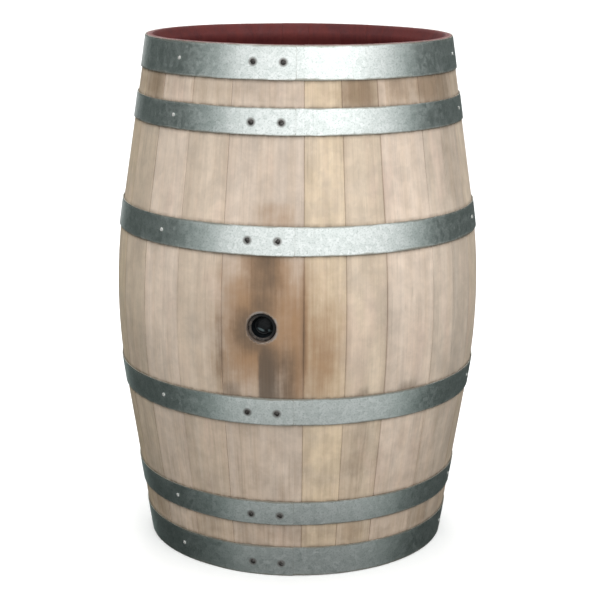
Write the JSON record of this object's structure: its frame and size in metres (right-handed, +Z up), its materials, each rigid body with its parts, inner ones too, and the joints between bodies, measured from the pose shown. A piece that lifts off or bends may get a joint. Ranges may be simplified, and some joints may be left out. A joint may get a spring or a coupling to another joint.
{
  "type": "wine barrel",
  "caption": "Coopered oak barrel with a bulging body of staves, recessed plank heads, riveted galvanised hoops and a rubber bung in the middle of its side.",
  "frame": {"origin": "on the floor, at the centre of the barrel's lower end", "axes": "+Z up along the barrel's axis, -Y out of the bung hole, +X to the right of someone who faces the bung"},
  "size_m": [0.6798, 0.6796, 0.95],
  "materials": {
    "stave_oak": "weathered, planed, unfinished",
    "head_oak": "planed and stained maroon",
    "galvanised_steel": "hot-dip galvanised, spangled, satin",
    "rivet_steel": "dark, dull, a little rusty",
    "nail_steel": "bright, satin",
    "bung_rubber": "smooth, glossy, wet",
    "dowel_wood": "raw",
    "rush": "raw, dry leaf"
  },
  "bodies": {
    "barrel": {"bilge_hoop_bottom": "galvanised_steel", "bilge_hoop_top": "galvanised_steel", "bottom_head_board_1": "head_oak", "bottom_head_board_2": "head_oak", "bottom_head_board_3": "head_oak", "bottom_head_board_4": "head_oak", "bottom_head_board_5": "head_oak", "bottom_head_board_6": "head_oak", "bottom_head_dowels": "dowel_wood", "bottom_head_rush": "rush", "bung_stave": "stave_oak", "head_hoop_bottom": "galvanised_steel", "head_hoop_top": "galvanised_steel", "hoop_nails": "nail_steel", "hoop_rivets": "rivet_steel", "quarter_hoop_bottom": "galvanised_steel", "quarter_hoop_top": "galvanised_steel", "stave_02": "stave_oak", "stave_03": "stave_oak", "stave_04": "stave_oak", "stave_05": "stave_oak", "stave_06": "stave_oak", "stave_07": "stave_oak", "stave_08": "stave_oak", "stave_09": "stave_oak", "stave_10": "stave_oak", "stave_11": "stave_oak", "stave_12": "stave_oak", "stave_13": "stave_oak", "stave_14": "stave_oak", "stave_15": "stave_oak", "stave_16": "stave_oak", "stave_17": "stave_oak", "stave_18": "stave_oak", "stave_19": "stave_oak", "stave_20": "stave_oak", "stave_21": "stave_oak", "stave_22": "stave_oak", "stave_23": "stave_oak", "stave_24": "stave_oak", "stave_25": "stave_oak", "stave_26": "stave_oak", "top_head_board_1": "head_oak", "top_head_board_2": "head_oak", "top_head_board_3": "head_oak", "top_head_board_4": "head_oak", "top_head_board_5": "head_oak", "top_head_board_6": "head_oak", "top_head_dowels": "dowel_wood", "top_head_rush": "rush"},
    "bung": {"bung": "bung_rubber"}
  },
  "joints": [
    {"name": "bung_pull", "type": "slide", "parent": "barrel", "child": "bung", "axis": [0, -1, 0], "range_m": [0, 0.1]}
  ]
}
